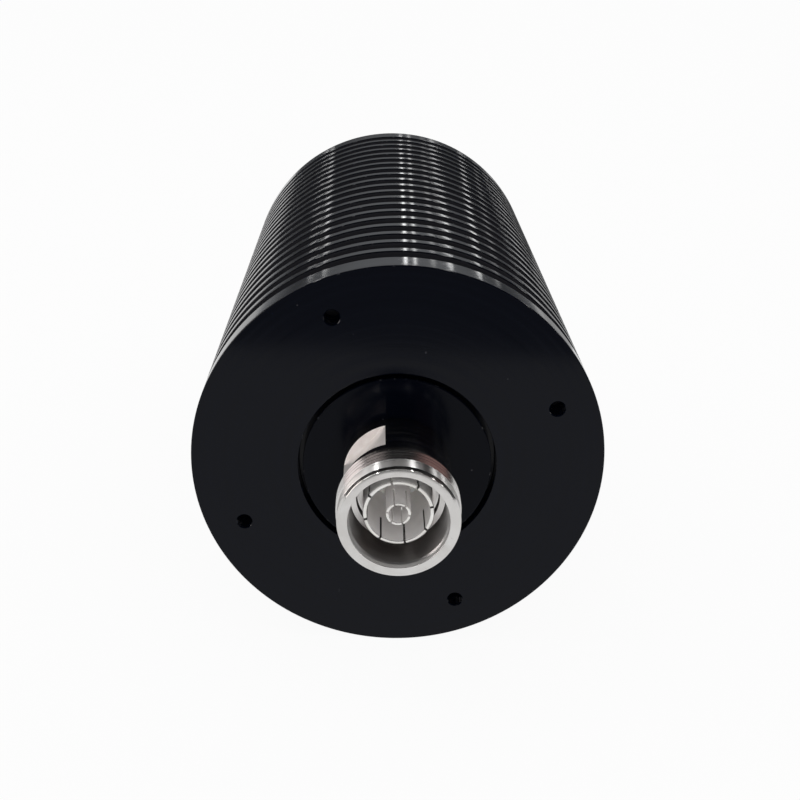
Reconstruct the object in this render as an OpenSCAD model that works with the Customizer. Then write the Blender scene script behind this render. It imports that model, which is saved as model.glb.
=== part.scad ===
// Coaxial attenuator: a turned, finned heat sink with the same jack at each end.
// Millimetres. The body's axis runs along Y, with the front face at Y = 0 looking towards -Y.
// An end is drawn along its own Z, which points out of its face, and is then laid along Y.

/* [Heat sink] */
// Diameter of the fins and of the two end discs
body_diameter = 70; // [62:1:90]
// Number of fins between the end discs
fin_count = 19; // [17:1:24]
// Thickness of one fin
fin_thickness = 2; // [1.5:0.1:3]
// Open gap between two fins
fin_gap = 3.5; // [3:0.1:5]
// Thickness of each end disc
end_disc_thickness = 5; // [4:0.5:8]
// Diameter at the foot of the fins
fin_root_diameter = 45; // [40:1:50]
// Chamfer on the rims of the fins and discs
fin_edge = 0.3; // [0.1:0.05:0.5]
// Bore that holds the core and the caps
core_bore_diameter = 30; // [29:0.5:31]

/* [Mounting holes] */
// Number of tapped holes in each end disc
hole_count = 4; // [2:1:8]
// Diameter of the circle that the tapped holes lie on
hole_circle_diameter = 57; // [52:0.5:60]
// Core diameter of the tapped holes
hole_diameter = 2.6; // [2:0.1:4]
// Turn of the first hole from the top, seen from the face
hole_turn = 24.3; // [0:0.1:90]

/* [End caps] */
// Diameter of the cap's flange
cap_diameter = 32; // [31.6:0.1:33]
// Distance of the cap's flange below the face, so that a panel seats on the disc
cap_setback = 0.1; // [0:0.05:0.3]
// Width of the open ring round the cap
cap_ring_gap = 0.8; // [0.4:0.1:1.5]
// Thickness of the cap's flange
cap_flange_thickness = 3; // [2:0.5:4]
// Length of the cap's screwed body behind its flange
cap_body_length = 9; // [7:0.5:12]

/* [Jack shell] */
// Diameter of the neck
neck_diameter = 18; // [17.6:0.1:19]
// Length of the round collar between the face and the wrench flats
collar_length = 2.6; // [1.5:0.1:4]
// Size across the two wrench flats
wrench_size = 15; // [14.6:0.1:16.4]
// Length of the wrench flats
flat_length = 7.4; // [5:0.1:7.8]
// Turn of the wrench flats about the jack's axis
flat_turn = 139; // [0:1:180]
// Length of the round neck between the flats and the thread
neck_end_length = 2.9; // [2:0.1:4]
// Outside diameter of the coupling thread
thread_diameter = 19.8; // [19.6:0.1:22]
// Length of the coupling thread
thread_length = 4.1; // [3:0.1:7]
// Diameter of the plain band in front of the thread
band_diameter = 19.3; // [19.1:0.1:19.5]
// Length of the plain band
band_length = 2.7; // [1:0.1:3.5]
// Chamfer at the rim, along the axis
rim_chamfer_length = 0.3; // [0.2:0.1:0.8]
// Outside diameter of the flat rim
rim_diameter = 18.5; // [18:0.1:19]
// Diameter of the mouth's lead-in
mouth_diameter = 15.9; // [15.6:0.1:16.4]
// Depth of the mouth's lead-in
mouth_depth = 1.3; // [0.8:0.1:2]
// Diameter of the well behind the lead-in
well_diameter = 15.4; // [15:0.1:15.5]
// Depth of the well's floor below the rim
well_depth = 8.7; // [8:0.1:9.5]
// Diameter of the recess in the well's floor
recess_diameter = 13.4; // [12.6:0.1:14]
// Depth of the recess below the well's floor
recess_depth = 1.7; // [1:0.1:2.5]
// Diameter of the screwed spigot behind the face
spigot_diameter = 14; // [13:0.5:16]

/* [Jack contacts] */
// Bore of the outer conductor
line_diameter = 10; // [9.6:0.1:10.4]
// Wall of the outer contact
outer_contact_wall = 0.6; // [0.4:0.05:0.7]
// Extra thickness of the outer contact's lip
lip_height = 0.12; // [0.05:0.01:0.2]
// Length of the outer contact's lip
lip_length = 0.9; // [0.5:0.1:1.5]
// Distance of the outer contact's lip behind the rim
outer_contact_setback = 3.35; // [2.5:0.05:4]
// Number of slots in the outer contact
outer_slot_count = 8; // [4:1:10]
// Length of the slots in the outer contact
outer_slot_length = 6.4; // [4:0.1:7]
// Width of the slots in the outer contact
outer_slot_width = 0.35; // [0.25:0.05:0.6]
// Turn of the first slot in the outer contact
outer_slot_turn = 14; // [0:1:45]
// Diameter of the inner contact's socket
socket_diameter = 4; // [3.9:0.05:4.2]
// Bore of the inner contact's socket
socket_bore_diameter = 3; // [2.6:0.05:3.2]
// Depth of the socket's bore
socket_depth = 7; // [6:0.5:9]
// Distance of the inner contact's lip behind the rim
inner_contact_setback = 3; // [2.5:0.05:4]
// Number of slots in the inner contact
inner_slot_count = 6; // [3:1:6]
// Length of the slots in the inner contact
inner_slot_length = 5; // [3:0.5:5.5]
// Width of the slots in the inner contact
inner_slot_width = 0.3; // [0.2:0.05:0.35]
// Turn of the first slot in the inner contact
inner_slot_turn = 53; // [0:1:60]
// Length of the slotted socket before the plain rod
socket_length = 8; // [7.5:0.5:10]
// Diameter of the inner conductor's rod
rod_diameter = 4.3; // [4.2:0.05:4.6]
// Thickness of the insulating bead
bead_thickness = 4; // [3:0.5:5]
// Height of the bead's front above the face
bead_height = 1; // [0:0.5:2]
// Diameter of the rod's neck inside the bead
bead_neck_diameter = 3.4; // [2.8:0.1:3.8]
// Diameter of the solder pin behind the rod
pin_diameter = 2; // [1.6:0.1:2.4]
// Distance that the solder pin reaches into the chip's pocket
pin_reach = 2; // [1.5:0.25:3]

/* [Core] */
// Length of the walls that close the ends of the chip's pocket
end_wall = 8; // [7:0.5:10]
// Radius of the passage round each solder pin
pin_passage_radius = 2.3; // [1.8:0.1:2.8]
// Height of the pocket in the lid above the joint
lid_pocket_height = 6; // [5:0.5:7]
// Distance of the lid's screws from the axis, sideways
lid_screw_offset = 7.5; // [7:0.1:8]
// Height of the lid's screw seats above the joint
lid_screw_seat = 6.5; // [5:0.5:7]
// Grip of the lid's screws in the base
lid_screw_grip = 7; // [4:0.5:9]

/* [Screws] */
// Thread diameter of the lid's screws
lid_screw_diameter = 3; // [2.5:0.1:3.5]
// Head diameter of the lid's screws
lid_screw_head_diameter = 5.5; // [5:0.1:5.8]
// Head height of the lid's screws
lid_screw_head_height = 3; // [2:0.1:3.2]
// Key size of the hexagon sockets in the lid's screws
lid_screw_key = 2.5; // [2:0.1:2.6]
// Thread diameter of the chip's screws
chip_screw_diameter = 2.5; // [2:0.1:3]
// Head diameter of the chip's screws
chip_screw_head_diameter = 4.5; // [4:0.1:4.8]
// Head height of the chip's screws
chip_screw_head_height = 2; // [1.5:0.1:2.5]
// Key size of the hexagon sockets in the chip's screws
chip_screw_key = 2; // [1.5:0.1:2.2]
// Grip of the chip's screws in the base
chip_screw_grip = 5; // [3:0.5:6]

/* [Resistor chip] */
// Width of the chip's flange
chip_width = 19; // [18:0.5:20]
// Thickness of the chip's flange
chip_flange_thickness = 3; // [2:0.25:4]
// Distance of the chip's screws from the ends of its flange
chip_screw_inset = 3.5; // [3:0.25:4.5]
// Distance of the chip's screws from the sides of its flange
chip_screw_margin = 3; // [2.75:0.25:4]
// Width of the ceramic plate
plate_width = 12; // [9:0.5:16]
// Length of the ceramic plate
plate_length = 58; // [48:1:59]
// Thickness of the ceramic plate
plate_thickness = 1.5; // [1:0.1:2]
// Thickness of the printed layers on the plate
print_thickness = 0.1; // [0.05:0.01:0.2]
// Length of each printed end pad
pad_length = 5; // [3:0.5:7]
// Width of each printed end pad
pad_width = 5; // [3:0.5:8]
// Width of the printed earth strips along the plate's sides
earth_width = 1.2; // [0.8:0.1:2]
// Number of resistor cells between the end pads
cell_count = 6; // [3:1:10]
// Width of the resistor line along the plate
film_width = 3; // [2:0.25:4]
// Width of the legs from the resistor line to the earth strips
leg_width = 2; // [1:0.25:3]
// Thickness of the ceramic cover
cover_thickness = 1; // [0.6:0.1:1.6]
// Width of the solder tabs
tab_width = 1.6; // [1.2:0.1:1.8]
// Thickness of the solder tabs
tab_thickness = 0.2; // [0.1:0.05:0.3]
// Length of each solder tab on its pad
tab_lap = 3; // [2:0.25:3]

/* [Fits] */
// Radial clearance of a screwed fit, drawn without its thread
thread_clearance = 0.05; // [0.02:0.01:0.1]
// Radial clearance of the core in its bore
core_clearance = 0.03; // [0.02:0.01:0.06]
// Radial clearance drawn at a pressed fit
press_clearance = 0.02; // [0.01:0.01:0.04]
// Clearance round a loose piece
loose_clearance = 0.2; // [0.1:0.05:0.4]
// Clearance of a solder tab in its slot
tab_clearance = 0.03; // [0.02:0.01:0.06]

/* [Hidden] */
$fn = 96;

// Overshoot that lets a cut run clear of a face
cut = 1;
// Number of sides of a hexagon key socket
key_sides = 6;
// Depth of a key socket as a share of the head's height
key_depth_share = 0.55;

// Heat sink
body_radius = body_diameter / 2;
fin_pitch = fin_thickness + fin_gap;
body_length = 2 * end_disc_thickness + fin_count * fin_thickness + (fin_count + 1) * fin_gap;
body_middle = body_length / 2;
core_bore_radius = core_bore_diameter / 2;
cap_radius = cap_diameter / 2;
cap_recess_radius = cap_radius + cap_ring_gap;
cap_recess_depth = cap_setback + cap_flange_thickness;
cap_length = cap_recess_depth + cap_body_length;

// Jack shell, heights above the face
flat_end = collar_length + flat_length;
thread_start = flat_end + neck_end_length;
thread_end = thread_start + thread_length;
band_end = thread_end + band_length;
rim_height = band_end + rim_chamfer_length;
mouth_floor = rim_height - mouth_depth;
well_floor = rim_height - well_depth;
recess_floor = well_floor - recess_depth;

// Jack contacts, heights above the face
line_radius = line_diameter / 2;
outer_contact_radius = line_radius + outer_contact_wall;
outer_contact_tip = rim_height - outer_contact_setback;
inner_contact_tip = rim_height - inner_contact_setback;
seat_radius = outer_contact_radius + press_clearance;
bead_floor = bead_height - bead_thickness;
rod_start = inner_contact_tip - socket_length;
rod_end = -cap_length;

// Core, measured from the middle of the body
core_radius = core_bore_radius - core_clearance;
core_half_length = body_middle - cap_length;
pocket_half_length = core_half_length - end_wall;
pocket_half_width = chip_width / 2 + loose_clearance;
chip_half_length = pocket_half_length - loose_clearance;
pin_length = end_wall + pin_reach;
tab_top = tab_thickness / 2;
print_top = -tab_thickness / 2;
plate_top = print_top - print_thickness;
chip_top = plate_top - plate_thickness;
pocket_floor = chip_top - chip_flange_thickness;
pad_centre = (plate_length - pad_length) / 2;
tab_inner_end = plate_length / 2 - tab_lap;
tab_outer_end = pocket_half_length;
cover_length = plate_length - 2 * pad_length;
cell_length = cover_length / cell_count;
lid_screw_along = core_half_length - end_wall / 2;
chip_screw_along = chip_half_length - chip_screw_inset;
chip_screw_across = chip_width / 2 - chip_screw_margin;

// Lays an end along the body: its Z becomes -Y and its Y becomes +Z
module at_front() {
    rotate([90, 0, 0]) children();
}

// The same end turned about the vertical and moved to the far face
module at_rear() {
    translate([0, body_length, 0]) rotate([0, 0, 180]) at_front() children();
}

module at_middle() {
    translate([0, body_middle, 0]) children();
}

// Corners of one disc's rim, chamfered on both edges, from z0 to z1
function rim_points(r, z0, z1, edge) = [
    [r - edge, z0], [r, z0 + edge], [r, z1 - edge], [r - edge, z1]
];

// Where fin number i starts, measured from the front face
function fin_start(i) = end_disc_thickness + fin_gap + i * fin_pitch;

// Outline of the whole finned side, from the front face to the rear one
function finned_side() = concat(
    rim_points(body_radius, 0, end_disc_thickness, fin_edge),
    [[fin_root_diameter / 2, end_disc_thickness]],
    [for (i = [0 : fin_count - 1]) each concat(
        [[fin_root_diameter / 2, fin_start(i)]],
        rim_points(body_radius, fin_start(i), fin_start(i) + fin_thickness, fin_edge),
        [[fin_root_diameter / 2, fin_start(i) + fin_thickness]]
    )],
    [[fin_root_diameter / 2, body_length - end_disc_thickness]],
    rim_points(body_radius, body_length - end_disc_thickness, body_length, fin_edge)
);

// Outline of the bore, from the rear face back to the front one
function stepped_bore() = [
    [cap_recess_radius, body_length],
    [cap_recess_radius, body_length - cap_recess_depth],
    [core_bore_radius, body_length - cap_recess_depth],
    [core_bore_radius, cap_recess_depth],
    [cap_recess_radius, cap_recess_depth],
    [cap_recess_radius, 0]
];

// Tapped holes through the end disc of one end
module mounting_holes() {
    for (i = [0 : hole_count - 1])
        rotate([0, 0, 90 + hole_turn + i * 360 / hole_count])
            translate([hole_circle_diameter / 2, 0, -end_disc_thickness - cut])
                cylinder(h = end_disc_thickness + 2 * cut, d = hole_diameter);
}

// One turned piece: both discs, the fins and the stem, with each disc drilled alike from its face
module heat_sink() {
    color([0.07, 0.07, 0.08]) difference() {
        rotate([-90, 0, 0]) rotate_extrude() polygon(concat(finned_side(), stepped_bore()));
        at_front() mounting_holes();
        at_rear() mounting_holes();
    }
}

// Screwed cap: the flange lies in the face, and the spigot of the jack screws into its hole
module cap() {
    body_r = core_bore_radius - thread_clearance;
    hole_r = spigot_diameter / 2 + thread_clearance;
    color([0.06, 0.06, 0.07]) rotate_extrude() polygon([
        [hole_r, -cap_setback],
        [cap_radius - fin_edge, -cap_setback],
        [cap_radius, -cap_setback - fin_edge],
        [cap_radius, -cap_recess_depth],
        [body_r, -cap_recess_depth],
        [body_r, -cap_length],
        [hole_r, -cap_length]
    ]);
}

// Outside of the shell, from the inner end of its spigot past its shoulder on the cap to the rim
function shell_outside() = [
    [spigot_diameter / 2, -cap_length],
    [spigot_diameter / 2, -cap_setback],
    [neck_diameter / 2, -cap_setback],
    [neck_diameter / 2, thread_start],
    [thread_diameter / 2, thread_start],
    [thread_diameter / 2, thread_end],
    [band_diameter / 2, thread_end],
    [band_diameter / 2, band_end],
    [rim_diameter / 2, rim_height]
];

// Inside of the shell, from the rim down to the inner end of the spigot
function shell_inside() = [
    [mouth_diameter / 2, rim_height],
    [mouth_diameter / 2, mouth_floor],
    [well_diameter / 2, mouth_floor],
    [well_diameter / 2, well_floor],
    [recess_diameter / 2, well_floor],
    [recess_diameter / 2, recess_floor],
    [seat_radius, recess_floor],
    [seat_radius, bead_floor],
    [line_radius, bead_floor],
    [line_radius, -cap_length]
];

module wrench_flats() {
    for (side = [0, 180])
        rotate([0, 0, flat_turn + side])
            translate([wrench_size / 2, -neck_diameter / 2, collar_length])
                cube([neck_diameter, neck_diameter, flat_length]);
}

module shell() {
    color([0.8, 0.79, 0.78]) difference() {
        rotate_extrude() polygon(concat(shell_outside(), shell_inside()));
        wrench_flats();
    }
}

// Slots cut from the tip of a sprung contact, one blade for each slot
module slots(count, turn, width, length, radius, tip) {
    for (i = [0 : count - 1])
        rotate([0, 0, turn + i * 360 / count])
            translate([0, -width / 2, tip - length])
                cube([radius + cut, width, length + cut]);
}

// Slotted tube that stands on the bead and is pressed into the shell
module outer_contact() {
    lip_radius = outer_contact_radius;
    finger_radius = outer_contact_radius - lip_height;
    lip_edge = lip_height;
    color([0.86, 0.85, 0.84]) difference() {
        rotate_extrude() polygon([
            [line_radius, bead_height],
            [outer_contact_radius, bead_height],
            [outer_contact_radius, recess_floor],
            [finger_radius, recess_floor + lip_height],
            [finger_radius, outer_contact_tip - lip_length - lip_edge],
            [lip_radius, outer_contact_tip - lip_length],
            [lip_radius, outer_contact_tip - lip_edge],
            [lip_radius - lip_edge, outer_contact_tip],
            [line_radius, outer_contact_tip]
        ]);
        slots(outer_slot_count, outer_slot_turn, outer_slot_width, outer_slot_length,
            outer_contact_radius, outer_contact_tip);
    }
}

// Insulating bead, trapped between the shell's shoulder and the outer contact
module bead() {
    color([0.93, 0.92, 0.88]) rotate_extrude() polygon([
        [bead_neck_diameter / 2 + press_clearance, bead_floor],
        [outer_contact_radius, bead_floor],
        [outer_contact_radius, bead_height],
        [bead_neck_diameter / 2 + press_clearance, bead_height]
    ]);
}

// Inner conductor in one turned piece: slotted socket, rod, bead neck and solder pin
module inner_contact() {
    socket_r = socket_diameter / 2;
    bore_r = socket_bore_diameter / 2;
    rod_r = rod_diameter / 2;
    neck_r = bead_neck_diameter / 2;
    pin_r = pin_diameter / 2;
    lip_edge = lip_height;
    color([0.83, 0.8, 0.72]) difference() {
        rotate_extrude() polygon([
            [0, rod_end - pin_length],
            [pin_r, rod_end - pin_length],
            [pin_r, rod_end],
            [rod_r, rod_end],
            [rod_r, bead_floor - press_clearance],
            [neck_r, bead_floor - press_clearance],
            [neck_r, bead_height + press_clearance],
            [rod_r, bead_height + press_clearance],
            [rod_r, rod_start],
            [socket_r, rod_start],
            [socket_r, inner_contact_tip - lip_edge],
            [socket_r - lip_edge, inner_contact_tip],
            [bore_r, inner_contact_tip],
            [bore_r, inner_contact_tip - socket_depth],
            [0, inner_contact_tip - socket_depth]
        ]);
        slots(inner_slot_count, inner_slot_turn, inner_slot_width, inner_slot_length,
            socket_r, inner_contact_tip);
        tab_slot();
    }
}

// Sawn slot across the end of the solder pin, which takes the tab
module tab_slot() {
    height = tab_thickness + 2 * tab_clearance;
    translate([-pin_diameter, -height / 2, rod_end - pin_length - cut])
        cube([2 * pin_diameter, height, pin_reach + cut]);
}

// Half of the core's round bar, on one side of the joint
module half_bar(side) {
    intersection() {
        rotate([90, 0, 0]) cylinder(h = 2 * core_half_length, r = core_radius, center = true);
        translate([-core_radius - cut, -core_half_length - cut, side > 0 ? 0 : -core_radius - cut])
            cube([2 * (core_radius + cut), 2 * (core_half_length + cut), core_radius + cut]);
    }
}

module pocket(z0, z1) {
    translate([-pocket_half_width, -pocket_half_length, z0])
        cube([2 * pocket_half_width, 2 * pocket_half_length, z1 - z0]);
}

module pin_passages() {
    rotate([90, 0, 0])
        cylinder(h = 2 * (core_half_length + cut), r = pin_passage_radius, center = true);
}

// Places that the four lid screws take, one child at each
module at_lid_screws() {
    for (x = [-1, 1], y = [-1, 1])
        translate([x * lid_screw_offset, y * lid_screw_along, 0]) children();
}

// Places that the four chip screws take, one child at each
module at_chip_screws() {
    for (x = [-1, 1], y = [-1, 1])
        translate([x * chip_screw_across, y * chip_screw_along, 0]) children();
}

// Carrier that the chip is screwed to, with a pocket milled in its flat
module core_base() {
    lid_hole_depth = lid_screw_grip + loose_clearance;
    chip_hole_depth = chip_screw_grip + loose_clearance;
    color([0.72, 0.73, 0.75]) at_middle() difference() {
        half_bar(-1);
        pocket(pocket_floor, cut);
        pin_passages();
        at_lid_screws()
            translate([0, 0, -lid_hole_depth])
                cylinder(h = lid_hole_depth + cut, r = lid_screw_diameter / 2 + thread_clearance);
        at_chip_screws()
            translate([0, 0, pocket_floor - chip_hole_depth])
                cylinder(h = chip_hole_depth + cut, r = chip_screw_diameter / 2 + thread_clearance);
    }
}

// Lid that closes the pocket, with a sunk seat for each screw
module core_lid() {
    color([0.76, 0.77, 0.79]) at_middle() difference() {
        half_bar(1);
        pocket(-cut, lid_pocket_height);
        pin_passages();
        at_lid_screws() {
            translate([0, 0, -cut])
                cylinder(h = lid_screw_seat + 2 * cut, r = lid_screw_diameter / 2 + loose_clearance);
            translate([0, 0, lid_screw_seat])
                cylinder(h = core_radius, r = lid_screw_head_diameter / 2 + loose_clearance);
        }
    }
}

// Socket-head screw with the underside of its head at Z = 0
module cap_screw(diameter, length, head_diameter, head_height, key) {
    key_depth = head_height * key_depth_share;
    difference() {
        union() {
            translate([0, 0, -length]) cylinder(h = length + head_height / 2, d = diameter);
            cylinder(h = head_height, d = head_diameter);
        }
        translate([0, 0, head_height - key_depth])
            cylinder(h = key_depth + cut, d = key / cos(180 / key_sides), $fn = key_sides);
    }
}

module lid_screws() {
    color([0.62, 0.62, 0.64]) at_middle() at_lid_screws()
        translate([0, 0, lid_screw_seat])
            cap_screw(lid_screw_diameter, lid_screw_seat + lid_screw_grip,
                lid_screw_head_diameter, lid_screw_head_height, lid_screw_key);
}

// Copper flange under the ceramic plate
module chip_flange() {
    color([0.72, 0.42, 0.26]) at_middle() difference() {
        translate([-chip_width / 2, -chip_half_length, pocket_floor])
            cube([chip_width, 2 * chip_half_length, chip_flange_thickness]);
        at_chip_screws()
            translate([0, 0, pocket_floor - cut])
                cylinder(h = chip_flange_thickness + 2 * cut,
                    r = chip_screw_diameter / 2 + loose_clearance);
    }
}

module chip_screws() {
    color([0.66, 0.66, 0.68]) at_middle() at_chip_screws()
        translate([0, 0, chip_top])
            cap_screw(chip_screw_diameter, chip_flange_thickness + chip_screw_grip,
                chip_screw_head_diameter, chip_screw_head_height, chip_screw_key);
}

// Flat box centred on the body's middle, given by its length along Y, width and height span
module flat_box(length, width, z0, z1) {
    translate([-width / 2, -length / 2, z0]) cube([width, length, z1 - z0]);
}

module ceramic_plate() {
    color([0.92, 0.91, 0.88]) at_middle()
        flat_box(plate_length, plate_width, chip_top, plate_top);
}

// Printed silver: a pad at each end and an earth strip along each side
module printed_conductors() {
    color([0.85, 0.85, 0.83]) at_middle() {
        for (side = [-1, 1])
            translate([0, side * pad_centre, 0])
                flat_box(pad_length, pad_width, plate_top, print_top);
        for (side = [-1, 1])
            translate([side * (plate_width - earth_width) / 2, 0, 0])
                flat_box(cover_length, earth_width, plate_top, print_top);
    }
}

// Printed resistor ladder: a line between the pads, with a leg to earth in each cell
module resistor_film() {
    leg_length = plate_width - 2 * earth_width;
    color([0.16, 0.16, 0.17]) at_middle() {
        flat_box(cover_length, film_width, plate_top, print_top);
        for (i = [0 : cell_count - 1])
            translate([0, (i + 0.5) * cell_length - cover_length / 2, 0])
                flat_box(leg_width, leg_length, plate_top, print_top);
    }
}

module ceramic_cover() {
    color([0.94, 0.93, 0.9]) at_middle()
        flat_box(cover_length, plate_width, print_top, print_top + cover_thickness);
}

// Solder tab from the plate's end pad into the slot of the solder pin
module tab(side) {
    length = tab_outer_end - tab_inner_end;
    color([0.85, 0.84, 0.8]) at_middle()
        translate([0, side * (tab_inner_end + tab_outer_end) / 2, 0])
            flat_box(length, tab_width, -tab_top, tab_top);
}

heat_sink();
at_front() cap();  // front_cap
at_rear() cap();  // rear_cap
at_front() shell();  // front_shell
at_rear() shell();  // rear_shell
at_front() outer_contact();  // front_outer_contact
at_rear() outer_contact();  // rear_outer_contact
at_front() bead();  // front_bead
at_rear() bead();  // rear_bead
at_front() inner_contact();  // front_inner_contact
at_rear() inner_contact();  // rear_inner_contact
core_base();
core_lid();
lid_screws();
chip_flange();
chip_screws();
ceramic_plate();
printed_conductors();
resistor_film();
ceramic_cover();
tab(-1);  // front_tab
tab(1);  // rear_tab
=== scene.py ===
import math

import bmesh
import bpy
from mathutils import Matrix, Vector


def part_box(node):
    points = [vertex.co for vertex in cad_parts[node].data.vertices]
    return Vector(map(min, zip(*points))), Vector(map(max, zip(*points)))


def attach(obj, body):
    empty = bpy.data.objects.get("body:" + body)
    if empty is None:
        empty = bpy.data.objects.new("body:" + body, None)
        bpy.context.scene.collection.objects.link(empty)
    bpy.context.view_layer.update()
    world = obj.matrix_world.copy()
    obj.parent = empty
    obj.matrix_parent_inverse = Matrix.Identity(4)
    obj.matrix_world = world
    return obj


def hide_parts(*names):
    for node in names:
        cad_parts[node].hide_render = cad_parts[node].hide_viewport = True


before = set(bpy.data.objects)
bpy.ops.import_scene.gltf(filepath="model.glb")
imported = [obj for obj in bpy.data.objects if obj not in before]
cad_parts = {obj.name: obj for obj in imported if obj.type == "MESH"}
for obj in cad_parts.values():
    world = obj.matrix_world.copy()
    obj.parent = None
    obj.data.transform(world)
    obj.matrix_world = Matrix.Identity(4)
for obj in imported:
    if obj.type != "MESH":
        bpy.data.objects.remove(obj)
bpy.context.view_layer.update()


# Heat sink
# One bar of aluminium, turned on a lathe and bored through: a disc at each end, thin round fins between
# them, whose flanks keep the duller finish of the parting tool and carry a lighter grey, painted light
# that stands in for the light seen between the fins, and a thick stem inside.
# The discs are drilled and tapped for M3 screws, and the whole is then black anodised.

# Sizes are in millimetres and turns in degrees, and the front face is at 0 along the axis. Blender
# and its materials work in metres
MM = 0.001
body_length = round(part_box("heat_sink")[1].y / MM, 3)
body_radius = 35.0
disc_thickness = 5.0
fin_count = 19
fin_thickness = 2.0
fin_gap = (body_length - 2 * disc_thickness - fin_count * fin_thickness) / (fin_count + 1)
stem_radius = 22.5
bore_radius = 15.0
cap_seat_radius = 16.8
cap_seat_depth = 3.1
disc_edge = 0.22
fin_edge = 0.2
fin_root = 0.4
seat_edge = 0.12
hole_count = 4
hole_circle_radius = 28.5
# From straight up to the first hole
hole_turn = 24.3
m3_core_radius = 1.3
m3_radius = 1.5
m3_pitch = 0.5
m3_lead_in = 0.12
m3_mouth_radius = m3_core_radius + m3_lead_in
tap_overshoot = 1.0
tap_end = disc_thickness + tap_overshoot
BODY_SIDES = 192
M3_SIDES = 40
# Steps of the arc that breaks an outer edge, and of the one that fills an inner corner
EDGE_STEPS = 3
CORNER_STEPS = 2
# Largest angle between two faces that still shade as one smooth surface
SMOOTH_ANGLE = math.radians(36)
# Vertices closer than this are one, in metres
WELD = 2e-7
# How far the middle of a face may lie from the surface that it belongs to
SKIN = 0.01
# Axial stations of one thread turn as shares of the pitch, each with its height as a share of the depth
THREAD_TURN = ((0.0, 1.0), (0.125, 1.0), (0.4375, 0.0), (0.6875, 0.0))
# Turns a front piece about the vertical and moves it to the far end
TO_REAR = Matrix.Translation((0, body_length * MM, 0)) @ Matrix.Rotation(math.pi, 4, "Z")


def rounded(corners):
    """Points of a closed outline whose corners are (radius, along, fillet), as (radius, along, worn)."""
    count = len(corners)
    area = sum(
        corners[i - 1][0] * corners[i][1] - corners[i][0] * corners[i - 1][1] for i in range(count)
    )
    points = []
    for i, (radius, along, fillet) in enumerate(corners):
        here = Vector((radius, along))
        if not fillet:
            points.append((radius, along, 0.0))
            continue
        back = (Vector(corners[i - 1][:2]) - here).normalized()
        ahead = (Vector(corners[(i + 1) % count][:2]) - here).normalized()
        convex = (ahead.x * back.y - ahead.y * back.x) * area > 0
        half = back.angle(ahead) / 2
        centre = here + (back + ahead).normalized() * fillet / math.sin(half)
        spoke = here + back * fillet / math.tan(half) - centre
        sweep = math.pi - 2 * half
        if back.y * ahead.x - back.x * ahead.y < 0:
            sweep = -sweep
        steps = EDGE_STEPS if convex else CORNER_STEPS
        for step in range(steps + 1):
            turned_spoke = Matrix.Rotation(sweep * step / steps, 2) @ spoke
            worn = 1.0 if convex and 0 < step < steps else 0.0
            points.append((*(centre + turned_spoke), worn))
    return points


def add_vertex(shape, radius, along, angle, worn):
    """Adds a vertex to a mesh by its place about the Y axis, with how much it is worn."""
    wear = shape.verts.layers.float.get("worn") or shape.verts.layers.float.new("worn")
    vertex = shape.verts.new((radius * math.cos(angle) * MM, along * MM, radius * math.sin(angle) * MM))
    vertex[wear] = worn
    return vertex


def revolve(shape, outline, sides, facing=1, closed=True):
    """Adds an outline of (radius, along, worn), turned about the Y axis, to a mesh."""
    rings = []
    for radius, along, worn in outline:
        places = 1 if radius < WELD / MM else sides
        ring = [
            add_vertex(shape, radius, facing * along, math.tau * side / sides, worn)
            for side in range(places)
        ]
        rings.append(ring * (sides // places))
    for i in range(0 if closed else 1, len(rings)):
        for side in range(sides):
            after = (side + 1) % sides
            corners = (rings[i - 1][side], rings[i - 1][after], rings[i][after], rings[i][side])
            distinct = list(dict.fromkeys(corners))
            if len(distinct) > 2:
                shape.faces.new(distinct)


def cut_thread(shape, start, end, pitch, core, crest, sides, facing=1):
    """Adds a screw thread about the Y axis that runs out into plain rings of the core radius."""
    runout = pitch / 2
    rows = []
    # The helix starts a turn early and ends late, and what lies past the thread is held to its ends
    for turn in range(-1, math.ceil((end - start) / pitch) + 2):
        for share, height in THREAD_TURN:
            row = []
            for side in range(sides):
                along = start + pitch * (turn + share + side / sides)
                along = min(max(along, start), end)
                lift = height * min(along - start, end - along, runout) / runout
                radius = core + (crest - core) * lift
                row.append(add_vertex(shape, radius, facing * along, math.tau * side / sides, lift))
            rows.append(row)
    # The end of each row meets the start of the one a turn further on
    per_turn = len(THREAD_TURN)
    helix = [row + [rows[i + per_turn][0]] for i, row in enumerate(rows[:-per_turn])]
    for lower, upper in zip(helix, helix[1:]):
        for side in range(sides):
            shape.faces.new((lower[side], lower[side + 1], upper[side + 1], upper[side]))


def made_of(name, shape):
    """An object of the mesh, with its vertices welded and its faces turned outwards."""
    bmesh.ops.remove_doubles(shape, verts=shape.verts, dist=WELD)
    bmesh.ops.recalc_face_normals(shape, faces=shape.faces)
    mesh = bpy.data.meshes.new(name)
    shape.to_mesh(mesh)
    shape.free()
    piece = bpy.data.objects.new(name, mesh)
    bpy.context.scene.collection.objects.link(piece)
    return piece


def turned(name, corners, sides, facing=1, closed=True):
    """An object turned to an outline whose corners are (radius, along, fillet)."""
    shape = bmesh.new()
    revolve(shape, rounded(corners), sides, facing, closed)
    return made_of(name, shape)


def apply_modifiers(piece):
    """Replaces the mesh of a piece by what its modifiers make of it."""
    graph = bpy.context.evaluated_depsgraph_get()
    mesh = bpy.data.meshes.new_from_object(
        piece.evaluated_get(graph), preserve_all_data_layers=True, depsgraph=graph
    )
    piece.modifiers.clear()
    piece.data = mesh


def cut_away(piece, cutters):
    """Takes the cutters' volume out of a piece that has no finish yet."""
    cutter = made_of("cutter", cutters)
    cut = piece.modifiers.new("cut", "BOOLEAN")
    cut.operation = "DIFFERENCE"
    cut.solver = "MANIFOLD"
    cut.object = cutter
    apply_modifiers(piece)
    piece.data.materials.clear()
    bpy.data.objects.remove(cutter)


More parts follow.
